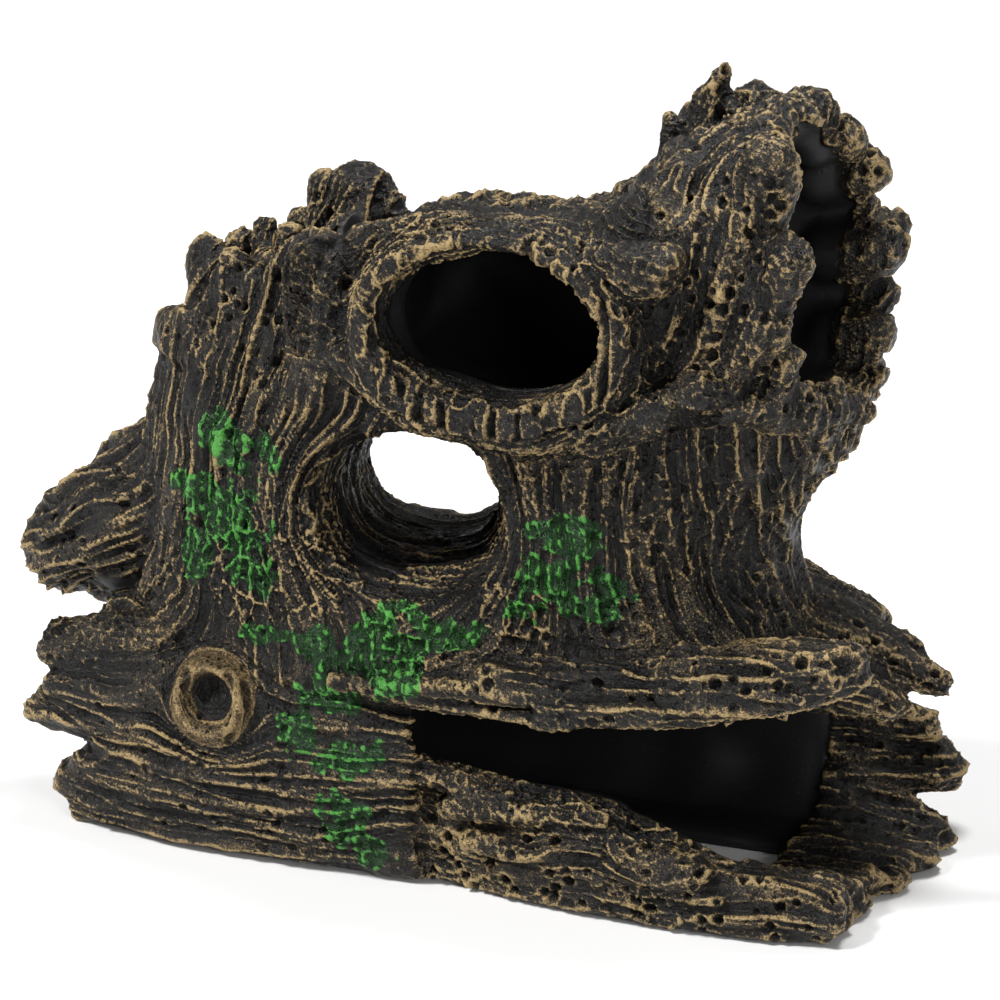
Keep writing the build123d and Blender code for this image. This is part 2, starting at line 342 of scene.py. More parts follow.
# ---- the whole body ------------------------------------------------------------------------------
node_sets = {}
union = blank()
for node in NODES:
    points, triangles = node_mesh(node)
    distances = level_set(points, triangles=triangles)
    cut = window_of(points.min(0), points.max(0), BAND - 1)
    node_sets[node] = (cut, distances[cut].copy())
    union = np.minimum(union, distances)

points, triangles, quads = surface(union - WELD)
body = level_set(points, triangles=triangles, quads=quads) + WELD
body = blur(body, 1.0)

# Broken outlines of the upper branch, the left crown, the log's left end, its right mouth and the sill.
trim(body, (28, -60, 118), (HIGH[0], 60, HIGH[2]), 0, 2, 1, (-0.33, -0.22), (
    (26, 150), (29, 138.5), (35, 142), (37.5, 147), (42, 152.5), (42.6, 157), (46, 157.5), (49, 158.5),
    (52, 162), (58, 162), (61, 164.5), (63.5, 162), (66.5, 164.5), (71, 163), (74.5, 160.5), (76, 156),
    (76.5, 152), (78, 150.5), (81, 149.5), (83.5, 146), (95, 146),
))
trim(body, (-70, -60, 96), (-6, 60, HIGH[2]), 0, 2, 1, (-0.5, -0.25), (
    (-64, 108), (-62, 112), (-59, 119), (-56, 122), (-53, 121), (-51, 118), (-48, 123), (-45, 121),
    (-41, 126), (-36, 125), (-33, 130), (-29, 134), (-25, 137), (-19, 138), (-14, 136), (-11, 131),
    (-9, 127), (-7.5, 200),
))
trim(body, LOW, (-60, 20, 52), 2, 0, -1, (-0.414, -0.564), (
    (-14, -97), (-12.4, -94), (-11.3, -96), (-7.8, -98), (-4.4, -101), (1.4, -98), (4.8, -94.2), (8.0, -89.7),
    (8.8, -101), (10.3, -109), (14.6, -106), (18.9, -104), (23.2, -103.5), (25.8, -107), (28.6, -106.5),
    (31.5, -105), (34.8, -97), (36.5, -97), (37, -130),
))
trim(body, (84, -60, -2), (HIGH[0], 60, 56), 2, 0, 1, (-0.396, -0.256), (
    (-13, 84), (-10.5, 87), (-9.3, 90), (-4.9, 93.5), (-1.9, 95), (-0.4, 92), (1.3, 103.8), (5.1, 107),
    (10.8, 108), (16.6, 102.5), (20.6, 96.7), (22, 103), (23.4, 109.4), (26.7, 111), (32.4, 105),
    (38.4, 100.5), (41.1, 96.1), (45, 88), (50, 84),
))
trim(body, (-2, -60, 0), (94, -24, 40), 0, 2, 1, (0, 0), (
    (-2, 60), (1, 33), (4, 26), (8, 24), (17, 23), (29, 21.5), (41, 23), (45.5, 22), (48, 17.5),
    (61, 14.5), (73, 12), (87, 11.5), (94, 11),
))

# The branch's roof, where the trims come too close to its hollow.
for shell in ("branch_front_shell", "branch_rear_shell"):
    restore(body, shell, (-45, -2, 100), (40, 60, HIGH[2]))

# Splinters at the broken ends.
splinter(body, (72, -60, 96), HIGH, 0, 1, 76, (-1, 132), 9.0, 1.6, 3.0)
splinter(body, (84, -60, -2), (HIGH[0], 60, 40), 0, 1, 88, (2.0, 16.0), 8.0, 1.6, 5.0)
splinter(body, LOW, (-70, 60, 48), 0, -1, -76, (0.0, 14.0), 6.0, 1.6, 9.0)

# Rounded splinters: foot, tip, radius at the foot and at the tip, and the fillet at the foot.
HORNS = (
    # spikes and lobes round the upper branch's mouth
    ((51, -2, 157), (55.6, -2, 170.8), 5.0, 1.0, 2), ((46, -6, 152), (44.6, -5, 161.0), 3.0, 0.9, 2),
    ((62, 0, 156), (61.0, 1, 163.0), 4.2, 3.4, 3), ((64, 8, 157), (70.0, 11, 159.8), 4.8, 4.2, 4),
    ((69, 15, 152), (75.0, 17, 153.6), 4.8, 4.0, 4), ((68, 23, 144), (78.6, 22, 146.4), 5.6, 4.0, 4),
    ((70, 24, 128), (82.0, 22, 130.0), 6.0, 4.6, 4), ((72, 20, 111), (82.4, 17, 113.6), 5.4, 4.2, 4),
    ((70, -25, 144), (73.6, -27.5, 157.0), 5.5, 4.8, 2.5),
    ((70, -27, 124), (78.4, -31, 138.6), 5.2, 4.8, 2.5),
    ((62, -29, 112), (74.6, -31, 125.0), 5.0, 4.4, 2.5), ((54, -22, 148), (52.0, -17, 155.0), 4.0, 3.4, 2.5),
    ((74, -24, 106), (76.5, -27, 118.0), 4.0, 3.2, 2), ((80, -12, 102), (83.0, -13, 109.0), 4.0, 2.6, 2),
    # the left crown
    ((-51, -20, 104), (-54.0, -14, 125.0), 4.4, 3.4, 1.5),
    ((-46, -15, 110), (-48.4, -10, 127.5), 3.2, 2.6, 1.5),
    ((-41, -15, 115), (-42.6, -10, 130.8), 3.4, 2.6, 1.5),
    ((-33.5, -19, 114), (-34.8, -14, 129.8), 3.0, 2.6, 1.5),
    ((-30, -9, 124), (-31.2, -6, 139.8), 4.0, 2.8, 1.5), ((-20, -11, 112), (-22.6, -4, 138.6), 8.0, 6.2, 2.5),
    ((-39, 0, 118), (-39.0, 0, 130.4), 3.6, 2.8, 1.5), ((-16, -8, 116), (-16.6, -4, 136.0), 4.0, 3.4, 2),
    ((-52, -22.5, 112), (-56.5, -27, 70), 2.6, 1.6, 3), ((-46, -24.5, 112), (-50, -29.5, 74), 2.2, 1.4, 3),
    ((-41, -26, 114), (-42.5, -31.5, 86), 2.0, 1.2, 3), ((-34, -27, 113), (-36.5, -32, 90), 1.9, 1.2, 3),
    ((-58, -16, 100), (-63, -19, 62), 2.6, 2.0, 3), ((-27, -21, 118), (-31, -31, 96), 1.9, 1.2, 3),
    # tips of the log's left end
    ((-74, -28, 23.5), (-91.6, -29.5, 22.4), 5.4, 1.6, 3), ((-60, -27, 43), (-85.0, -29, 42.6), 6.0, 2.2, 4),
    ((-60, -29, 37), (-87.6, -30, 37.4), 6.0, 2.0, 4), ((-62, -31, 30), (-84.6, -30, 31.0), 6.0, 2.4, 4),
    ((-68, -29, 8), (-82.6, -29.5, 7.6), 5.0, 2.2, 3), ((-66, -27, 3), (-78.0, -28, 2.6), 4.4, 2.4, 3),
    # fingers of the right root
    ((78, 7, 48), (101.5, 8, 42.6), 6.0, 2.8, 4), ((78, 11, 51), (93.0, 13, 47.0), 5.5, 3.6, 4),
    ((76, 3, 43), (90.0, 4, 40.0), 4.6, 2.8, 4),
    # collar: the knob at its right, the tongue below it and the ledge that runs to the branch's mouth
    ((44, -36, 134.5), (55.4, -38, 136.4), 5.2, 4.6, 3),
    ((37, -37, 106.0), (42.6, -39.5, 103.0), 4.8, 4.4, 1.5),
    ((46, -37, 104), (64.0, -36, 111.5), 4.2, 4.2, 2.5),
    ((64, -36, 111.5), (79.0, -20, 106.5), 4.2, 3.6, 2.5),
    ((79, -20, 106.5), (86.0, -3, 102.5), 3.6, 2.6, 2.5), ((6, -38, 103), (30.0, -40, 102.5), 3.6, 4.0, 3),
    ((-12, -36, 112), (4.0, -39, 103.5), 3.4, 3.6, 3),
    ((-22, -26, 126), (-20, -29, 106), 8.0, 7.0, 6), ((-12, -26, 134), (10, -29, 138), 3.6, 3.4, 5),
    # strakes of the lintel
    ((-14, -40.5, 43.8), (38, -44, 42.6), 1.6, 1.1, 1.5), ((0, -43.5, 46.6), (60, -44, 49.0), 1.9, 1.4, 1.5),
    ((34, -44.5, 44.6), (58, -44, 47.0), 2.4, 1.9, 1.5), ((48, -43, 49.8), (86, -40, 52.6), 2.4, 1.8, 1.5),
    ((20, -42.5, 50.8), (80, -40, 55.8), 1.7, 1.3, 1.5), ((60, -36, 57.5), (90, -34, 56.0), 2.2, 1.8, 1.5),
    # strakes of the sill
    ((2, -36, 25), (30, -37.5, 20.5), 2.2, 1.8, 2), ((10, -38.5, 19), (44, -39.5, 21.0), 1.9, 1.6, 2),
    ((38, -37.5, 21), (46, -37.5, 18.0), 2.6, 2.2, 2), ((50, -39.5, 14), (64, -40, 13.0), 3.8, 4.0, 2.5),
    ((16, -40.5, 13), (70, -41, 8.5), 1.8, 1.6, 2), ((58, -38, 11), (88, -35, 8.5), 2.6, 3.0, 2.0),
    ((76, -35, 7), (90.5, -34, 5.6), 4.6, 4.2, 2.0),
    # the rear foot inside the log, and the lip behind the sill
    ((10, 9, 0), (76, 9, 0), 3.0, 3.0, 2), ((10, 13, 0), (76, 13, 0), 3.0, 3.0, 2),
    ((10, 17, 0), (76, 17, 0), 3.0, 3.0, 2), ((2, -33, 25), (45, -33, 21), 2.0, 2.0, 2),
    ((45, -33, 20.5), (75, -31, 10.0), 2.0, 2.0, 2), ((75, -31, 10.0), (84, -28, 7), 2.0, 2.0, 2),
    # the roof of the upper branch's chamber, where the castings are thin
    ((-19, -15, 127.5), (-9, -15, 131.0), 2.4, 2.4, 3), ((-9, -15, 131.0), (5, -15, 134.0), 2.4, 2.2, 3),
    ((-19, -10, 128.0), (-9, -10, 132.0), 2.4, 2.4, 3), ((-9, -10, 132.0), (5, -10, 134.8), 2.4, 2.2, 3),
    ((-19, -5, 128.0), (-9, -5, 132.3), 2.4, 2.4, 3), ((-9, -5, 132.3), (5, -5, 135.2), 2.4, 2.2, 3),
    ((-19, 0, 128.0), (-9, 0, 132.3), 2.4, 2.4, 3), ((-9, 0, 132.3), (5, 0, 135.2), 2.4, 2.2, 3),
    ((-19, 5, 127.5), (-9, 5, 132.0), 2.4, 2.4, 3), ((-9, 5, 132.0), (5, 5, 134.8), 2.4, 2.2, 3),
    ((-19, 10, 126.5), (-9, 10, 130.6), 2.4, 2.4, 3), ((-9, 10, 130.6), (5, 10, 133.4), 2.4, 2.2, 3),
    ((-17, 15, 122.5), (-9, 15, 127.6), 2.4, 2.4, 3), ((-9, 15, 127.6), (5, 15, 131.0), 2.4, 2.2, 3),
    ((2, -20, 133.6), (28, -20, 136.3), 2.0, 2.2, 2), ((2, -16, 134.2), (28, -16, 137.0), 2.0, 2.2, 2),
    ((2, -12, 134.8), (28, -12, 137.6), 2.0, 2.2, 2), ((2, -8, 135.2), (28, -8, 137.6), 2.0, 2.2, 2),
    # the knot's tail
    (
        (KNOT[0] + 2, KNOT[1] - 0.5, KNOT[2] - 8),
        (KNOT[0] + 5.5, KNOT[1] - 0.5, KNOT[2] - 12.5),
        3.4, 1.8, 1.5,
    ),
)
for foot, tip, foot_radius, tip_radius, fillet in HORNS:
    add_horn(body, foot, tip, foot_radius, tip_radius, fillet)

# Hollows: beside the collar's knob, the knot's bore, under the branch's small spike, and clefts
# between lobes.
carve(body, (60.8, -39.5, 130.5), (4.6, 9.0, 8.0), 2.0)
carve(body, (KNOT[0], KNOT_FRONT + 0.5, KNOT[2]), (6.2, 6.0, 6.2), 1.0)
carve(body, (57.6, -31.0, 152.5), (4.2, 6.0, 6.5), 2.0)
carve(body, (80.5, 23.0, 138.0), (3.6, 6.0, 2.2), 2.0)
carve(body, (84.5, 20.0, 120.5), (3.6, 6.0, 2.2), 2.0)
carve(body, (78.6, -31.0, 147.5), (3.0, 6.0, 2.6), 2.0)

points, triangles, quads = surface(body)
body = level_set(points, triangles=triangles, quads=quads)
body = blur(body, 0.7)
slopes = np.gradient(body, VOXEL)
body = np.maximum(body, -axes_of(window_of(LOW, HIGH, 0))[2])


# ---- grain ---------------------------------------------------------------------------------------
def past_hole(across, along, centre_across, centre_along, half_across, half_along, fade=1.7):
    """Stream function of grain that parts and closes again round a hole."""
    a, b = across - centre_across, along - centre_along
    ring = (a / half_across) ** 2 + (b / half_along) ** 2
    return centre_across + a * np.clip(1 - 1 / np.maximum(ring, 1.0) ** fade, 0.04, 1)


def log_grain(x, y, z):
    lines = past_hole(z, x, KNOT[2], KNOT[0], 9.5, 11.5)
    lines = np.where(y < -10, lines, z)
    return lines, y, x


def stump_grain(x, y, z):
    share = np.clip((y - TUNNEL_FRONT[1]) / (TUNNEL_REAR[1] - TUNNEL_FRONT[1]), 0, 1)
    centre = TUNNEL_FRONT[None, :] + share[:, None] * (TUNNEL_REAR - TUNNEL_FRONT)[None, :]
    lines = past_hole(x, z, centre[:, 0], centre[:, 2], 21.0, 17.0, 2.3)
    low = np.clip(82 - z, 0, 40)
    lines = lines - 0.011 * low ** 2 * smooth(20, 60, x) + 0.010 * low ** 2 * smooth(-30, -70, x)
    lines = lines - 0.22 * np.clip(z - 92, 0, 60) * smooth(10, -20, x)
    return lines, y, z


def oval_grain(x, y, z):
    lines = past_hole(z, x, OVAL[2] + 2, OVAL[0] - 1, 20.0, 29.0)
    return lines, y, x


def wall_grain(x, y, z):
    tilt = math.radians(74)
    lines = x * math.sin(tilt) - z * math.cos(tilt)
    return lines, y, x * math.cos(tilt) + z * math.sin(tilt)


def line_grain(direction):
    forward = Vector(direction).normalized()
    side = forward.cross(Vector((0, 0, 1))).normalized()
    up = side.cross(forward)

    def grain(x, y, z):
        def part(axis):
            return x * axis.x + y * axis.y + z * axis.z

        return part(up), part(side), part(forward)

    return grain


# What each casting's bark is like: its grain, and how much it is ridged, crusted and pitted.
BARK = {
    "log": (log_grain, 1.35, 0.3, 0.5,
            ("log_front_shell", "log_rear_shell", "log_left_crown", "log_right_flare")),
    "sill": (line_grain((1, 0.03, 0.03)), 0.95, 0.85, 1.2, ("window_sill",)),
    "lintel": (line_grain((1, 0.03, 0.05)), 1.2, 0.5, 0.9, ("window_lintel",)),
    "knot": (log_grain, 0.2, 0.3, 0.8, ("knot_ring",)),
    "stump": (stump_grain, 1.25, 0.5, 0.5, ("stump_front_half", "stump_rear_half", "tunnel_sleeve")),
    "crown": (stump_grain, 1.15, 0.5, 0.9, ("stump_left_crown",)),
    "left_root": (line_grain((-0.88, -0.05, -0.46)), 1.6, 0.4, 0.6, ("left_root",)),
    "right_root": (line_grain((0.93, 0.13, -0.34)), 1.1, 0.6, 0.9, ("right_root",)),
    "collar": (oval_grain, 0.32, 0.95, 1.3, ("oval_collar",)),
    "branch": (oval_grain, 0.5, 0.5, 0.6, ()),
    "wall": (wall_grain, 1.2, 0.65, 1.1, ("branch_front_shell", "branch_rear_shell", "branch_mouth_crown")),
}


# How wide one kind of bark fades into the next.
BARK_FADE = 1.7
KNOT_FADE = 0.9


def node_distance(node, points):
    cut, distances = node_sets[node]
    corner = [part.start for part in cut]
    place = (points - LOW) / VOXEL - corner
    inside = ((place > 0) & (place < np.array(distances.shape) - 1)).all(1)
    result = np.full(len(points), BAND, np.float32)
    result[inside] = sample(distances, points[inside], corner)
    return result


def bark_shares(points):
    """How much of each kind of bark a point has, from its distances to the castings."""
    scores = {}
    for kind, row in BARK.items():
        scores[kind] = np.full(len(points), BAND, np.float32)
        for node in row[4]:
            scores[kind] = np.minimum(scores[kind], node_distance(node, points))
    past_oval = smooth(OVAL[0] + 24, OVAL[0] + 36, points[:, 0]) * smooth(-22, -12, -points[:, 1])
    towards_wall = np.clip(past_oval + smooth(-10, 0, points[:, 1]), 0, 1)
    scores["branch"] = scores["wall"] + 4 * towards_wall
    scores["wall"] = scores["wall"] + 4 * (1 - towards_wall)
    weights = {}
    for kind, score in scores.items():
        width = KNOT_FADE if kind == "knot" else BARK_FADE
        weights[kind] = np.exp(-np.clip(score, -BAND, BAND) / width)
    total = sum(weights.values())
    return {kind: weight / total for kind, weight in weights.items()}


# Pitch of the grain's three sizes of ridge: across it, through the bark and along it.
STRAKE = (4.4, 7, 46)
COARSE = (2.0, 3.4, 32)
FINE = (1.15, 2.2, 17)


def crest(value):
    """Sharp crests where a noise crosses zero, rounded valleys between them."""
    return 1 - 2 * np.abs(value) ** 0.8


def bark_relief(points, kind):
    """Height of the bark in millimetres, the values its crest lines follow, and its grain coordinates."""
    grain, ridged, crusted, pitted, _ = BARK[kind]
    x, y, z = points.T
    s, t, u = grain(x, y, z)
    s = s + 2.0 * noise(x / 14, y / 14, z / 14) + 0.5 * noise(x / 5, y / 5, z / 5 + 3)
    t = t * 0.8
    strake = noise(s / STRAKE[0], t / STRAKE[1], u / STRAKE[2] + 7)
    coarse = noise(s / COARSE[0] + 5, t / COARSE[1], u / COARSE[2])
    fine = noise(s / FINE[0] + 9, t / FINE[1], u / FINE[2])
    bend = 0.9 * noise(x / 2.6 + 3, y / 2.6, z / 2.6)
    bow = 0.9 * noise(x / 2.6, y / 2.6 + 13, z / 2.6)
    near, second = cellular((s + bend) / 3.3, (t + bow) / 3.6, (u + bow) / 6.5)
    cells = second - near
    web = np.exp(-(cells / (0.13 + 0.06 * bend)) ** 2)
    near, second = cellular((x + bend) / 1.7 + 5, (y + bow) / 1.7, z / 1.7)
    crumbs = np.exp(-((second - near) / 0.2) ** 2)
    # the stump's foot below the tunnel is more crusted than ridged
    below = smooth(1.4, 0.6, ((x + 6) / 46) ** 2 + ((z - 61) / 20) ** 2)
    zone = below * smooth(-8, -20, y) * (kind == "stump")
    ridged = ridged * (1 - 0.55 * zone)
    crusted = crusted + 0.55 * zone
    patch = smooth(-0.25, 0.3, noise(x / 12 + 3, y / 12, z / 12) + 0.6 * (crusted - 0.5))
    near, _ = cellular(s / 3.3 + 11, t / 3.3, u / 4.0)
    size = 0.25 + 0.1 * noise(x / 5, y / 5, z / 5 + 17)
    holes = smooth(size + 0.06, size - 0.04, near)
    holes = holes * smooth(-0.15, 0.25, noise(x / 9, y / 9 + 31, z / 9) + pitted - 0.35)
    grained = 0.52 * crest(coarse) + 0.32 * crest(fine)
    height = ridged * (0.7 * crest(strake) + grained * (1 - 0.5 * patch * crusted))
    height = height + crusted * patch * (0.7 * web + 0.26 * crumbs - 0.25) + 0.08 * crumbs
    height = height - 1.6 * holes * min(pitted, 1.0)
    traits = {
        "pits": holes, "strake": strake / ridged, "coarse": coarse / ridged, "fine": fine / ridged,
        "cells": cells + 0.5 * (1 - crusted * patch),
    }
    return height, traits, np.stack([s, t, u], 1)


# ---- what the surface is at a point --------------------------------------------------------------
def inside_log(points, normals):
    """1 on the smooth core wall of the lower log."""
    y, z = points[:, 1] - CAVE[1], points[:, 2] - (CAVE[2] + 1)
    ring = (y / 35.0) ** 2 + (z / 29.0) ** 2
    facing = -(normals[:, 1] * y + normals[:, 2] * z)
    right = smooth(FLARE_BOX[0][0] + 1.0, FLARE_BOX[0][0] - 0.5, points[:, 0])
    left = smooth(LEFT_BOX[1][0] - 1.5, LEFT_BOX[1][0] + 1.5, points[:, 0])
    return smooth(-1.0, 3.0, facing) * smooth(1.12, 1.02, ring) * right * left


def inside_branch(points, normals):
    """1 on the smooth core wall of the upper branch."""
    x = points[:, 0]
    centre = OVAL[2] - 1.5 + (x - OVAL[0]) * 0.27 * smooth(OVAL[0], OVAL[0] + 30, x)
    y, z = points[:, 1] + 2.0, points[:, 2] - centre
    half = 20.0 + 9.0 * smooth(OVAL[0], OVAL[0] + 34, x)
    ring = (y / 29.5) ** 2 + (z / half) ** 2
    facing = -(normals[:, 1] * y + normals[:, 2] * z - 0.5 * normals[:, 0] * (OVAL[0] - x))
    right = smooth(MOUTH_BOX[0][0] + 7.0, MOUTH_BOX[0][0] + 3.0, x)
    left = smooth(OVAL[0] - 50, OVAL[0] - 46, x)
    return smooth(-1.0, 3.0, facing) * smooth(1.2, 1.05, ring) * right * left


# Moss paint on the front: centre across and up, half sizes.
MOSS = (
    (-44, 91, 5, 5), (-35, 88, 7, 5), (-50, 78, 7, 4), (-40, 74, 9, 7), (-50, 65, 4, 7), (-35, 62, 6, 5),
    (-33, 50, 11, 2.2), (-16, 49, 8, 5), (-3, 54, 9, 7), (10, 56, 8, 4), (-1, 47, 7, 5), (-17, 39, 7, 6),
    (-23, 31, 5, 6), (-11, 27, 8, 6), (-12, 14, 6, 7), (-7, 8, 6, 5), (34, 78, 8, 5), (32, 69, 8, 7),
    (41, 67, 6, 6), (26, 63, 6, 3),
)


def moss_paint(points, normals):
    x, y, z = points.T
    amount = np.zeros(len(points), np.float32)
    for centre_x, centre_z, half_x, half_z in MOSS:
        spot = ((x - centre_x) / half_x) ** 2 + ((z - centre_z) / half_z) ** 2
        amount = np.maximum(amount, 1.0 - 0.62 * spot)
    bend = 1.6 * noise(x / 3.1, y / 3.1, z / 3.1 + 21)
    clumps = 0.9 * noise((x + z) / 5.2, y / 4.6, (z - x + bend) / 6.0)
    clumps = clumps + 0.6 * noise((x - z + bend) / 2.9, y / 2.1 + 9, (z + x) / 2.9)
    cover = smooth(0.1, 0.5, 1.15 * amount + 0.85 * clumps - 0.15) * smooth(0.0, 0.3, amount)
    return cover * smooth(-8, -20, y) * smooth(0.25, -0.1, normals[:, 1])


# ---- pieces --------------------------------------------------------------------------------------
def normal_at(points):
    slope = np.stack([sample(part, points) for part in slopes], 1)
    return slope / np.maximum(np.linalg.norm(slope, axis=1, keepdims=True), 1e-6)


def piece_field(node):
    """The body's level set, kept to one casting and tucked a little under its neighbours."""
    cut, own = node_sets[node]
    others = np.full(own.shape, BAND, np.float32)
    for other in NODES:
        if other == node:
            continue
        other_cut, distances = node_sets[other]
        shared = [(max(a.start, b.start), min(a.stop, b.stop)) for a, b in zip(cut, other_cut)]
        if any(start >= stop for start, stop in shared):
            continue
        mine = tuple(slice(start - a.start, stop - a.start) for (start, stop), a in zip(shared, cut))
        theirs = tuple(slice(start - b.start, stop - b.start) for (start, stop), b in zip(shared, other_cut))
        others[mine] = np.minimum(others[mine], distances[theirs])
    border = (own - others) / 2
    field = np.maximum(body[cut] + 0.5 * np.maximum(border, 0), border - TUCK)
    edge = np.full(tuple(n + 2 for n in field.shape), BAND, np.float32)
    edge[1:-1, 1:-1, 1:-1] = field
    return edge, [part.start - 1 for part in cut]


def proud(mesh, rounds):
    """How far each vertex stands above the average of its neighbourhood, in millimetres."""
    count = len(mesh.vertices)
    points = np.empty(count * 3, np.float32)
    mesh.vertices.foreach_get("co", points)
    points = points.reshape(-1, 3) / MM
    normals = np.empty(count * 3, np.float32)
    mesh.vertex_normals.foreach_get("vector", normals)
    pairs = np.empty(len(mesh.edges) * 2, np.int32)
    mesh.edges.foreach_get("vertices", pairs)
    one, other = pairs[0::2], pairs[1::2]
    share = 1 / np.maximum(np.bincount(one, minlength=count) + np.bincount(other, minlength=count), 1)
    mean = points.astype(np.float64)
    for _ in range(rounds):
        summed = np.stack([
            np.bincount(one, mean[other, a], count) + np.bincount(other, mean[one, a], count)
            for a in range(3)
        ], 1)
        mean = 0.3 * mean + 0.7 * summed * share[:, None]
    return ((points - mean) * normals.reshape(-1, 3)).sum(1)


def sculpt(node):
    """Mesh of one casting with its bark, and the attributes that its paint follows."""
    field, corner = piece_field(node)
    points, triangles, quads = surface(field, corner)
    normals = normal_at(points)
    height = np.zeros(len(points), np.float32)
    traits = {
        name: np.zeros(len(points), np.float32) for name in ("pits", "strake", "coarse", "fine", "cells")
    }
    grain = np.zeros((len(points), 3), np.float32)
    best = np.zeros(len(points), np.float32)
    for kind, share in bark_shares(points).items():
        here = share > 0.03
        if not here.any():
            continue
        relief, values, along = bark_relief(points[here], kind)
        height[here] += share[here] * relief
        for name, value in values.items():
            traits[name][here] += share[here] * value
        better = share[here] > best[here]
        chosen = np.flatnonzero(here)[better]
        grain[chosen] = along[better]
        best[chosen] = share[here][better]
    core = np.maximum(inside_log(points, normals), inside_branch(points, normals))
    moss = moss_paint(points, normals) * (1 - core)
    wrinkle = 0.8 * noise(points[:, 0] / 11, points[:, 1] / 9, points[:, 2] / 11)
    x, y, z = points.T
    # The inside of the knot's bore, behind its front face, is painted dark through the pits attribute:
    # painted shade for the depth of the hole.
    bore = smooth(5.6, 4.8, np.hypot(x - KNOT[0], z - KNOT[2]))
    bore = bore * smooth(KNOT_FRONT + 0.8, KNOT_FRONT + 2.4, y)
    traits["pits"] = np.maximum(traits["pits"], bore * (y < -20))
    bend = 1.2 * noise(x / 2.7, y / 2.7 + 4, z / 2.7)
    near, _ = cellular((x + bend) / 2.2, y / 2.0, (z + bend) / 2.8 + 5)
    tufts = 0.8 - 1.2 * near
    height = (height + moss * tufts) * (1 - core) + wrinkle * core
    moved = points + normals * (RELIEF * height * smooth(0.6, 1.6, points[:, 2]))[:, None]
    moved[:, 2] = np.maximum(moved[:, 2], 0)
    traits.update(core=core, moss=moss)
    return moved, triangles, quads, traits, grain


def build(node, material):
    points, triangles, quads, attributes, grain = sculpt(node)
    mesh = bpy.data.meshes.new(node + "_bark")
    faces = quads.tolist() + triangles.tolist()
    mesh.from_pydata((points * MM).tolist(), [], faces)
    mesh.update()
    mesh.polygons.foreach_set("use_smooth", np.ones(len(mesh.polygons), bool))
    attributes["edge"] = proud(mesh, 2)
    attributes["ridge"] = proud(mesh, 9)
    for name, values in attributes.items():
        layer = mesh.attributes.new(name, "FLOAT", "POINT")
        layer.data.foreach_set("value", values.astype(np.float32))
    layer = mesh.attributes.new("grain", "FLOAT_VECTOR", "POINT")
    layer.data.foreach_set("vector", grain.astype(np.float32).ravel())
    mesh.materials.append(material)
    piece = bpy.data.objects.new(node + "_bark", mesh)
    bpy.context.scene.collection.objects.link(piece)
    return piece


# ---- materials -----------------------------------------------------------------------------------
class Nodes:
    """Short spelling for building a node tree."""

    def __init__(self, name):
        self.material = bpy.data.materials.new(name)
        self.material.use_nodes = True
        self.tree = self.material.node_tree
        self.shader = self.tree.nodes["Principled BSDF"]

    def put(self, kind, settings=(), **inputs):
        node = self.tree.nodes.new(kind)
        for key, value in settings:
            setattr(node, key, value)
        for key, value in inputs.items():
            self.feed(node.inputs[key.replace("_", " ")], value)
        return node

    def feed(self, socket, value):
        if isinstance(value, bpy.types.NodeSocket):
            self.tree.links.new(value, socket)
        else:
            socket.default_value = value

    def attribute(self, name, output="Fac"):
        return self.put("ShaderNodeAttribute", [("attribute_name", name)]).outputs[output]

    def math(self, operation, a, b=0.0, clamp=False):
        node = self.put("ShaderNodeMath", [("operation", operation), ("use_clamp", clamp)])
        self.feed(node.inputs[0], a)
        self.feed(node.inputs[1], b)
        return node.outputs[0]

    def ramp(self, value, low, high, start=0.0, end=1.0):
        node = self.put("ShaderNodeMapRange", [("interpolation_type", "SMOOTHSTEP")])
        keys = ("Value", "From Min", "From Max", "To Min", "To Max")
        for key, given in zip(keys, (value, low, high, start, end)):
            self.feed(node.inputs[key], given)
        return node.outputs[0]

    def mix(self, share, a, b):
        node = self.put("ShaderNodeMix", [("data_type", "RGBA")])
        self.feed(node.inputs[0], share)
        self.feed(node.inputs[6], a)
        self.feed(node.inputs[7], b)
        return node.outputs[2]

    def noise(self, vector, scale, detail=3.0, rough=0.55):
        node = self.put("ShaderNodeTexNoise", Vector=vector, Scale=scale, Detail=detail, Roughness=rough)
        return node.outputs["Fac"]

    def scaled(self, vector, factors):
        node = self.put("ShaderNodeVectorMath", [("operation", "MULTIPLY")])
        self.feed(node.inputs[0], vector)
        self.feed(node.inputs[1], factors)
        return node.outputs[0]


CHARCOAL = (0.0036, 0.0031, 0.0028, 1)
SLATE = (0.0115, 0.0096, 0.0072, 1)
TAN = (0.120, 0.076, 0.030, 1)
PALE = (0.40, 0.285, 0.130, 1)
BLACK = (0.0085, 0.0085, 0.0092, 1)
MOSS_DARK = (0.0036, 0.026, 0.0032, 1)
MOSS_LIGHT = (0.085, 0.330, 0.055, 1)


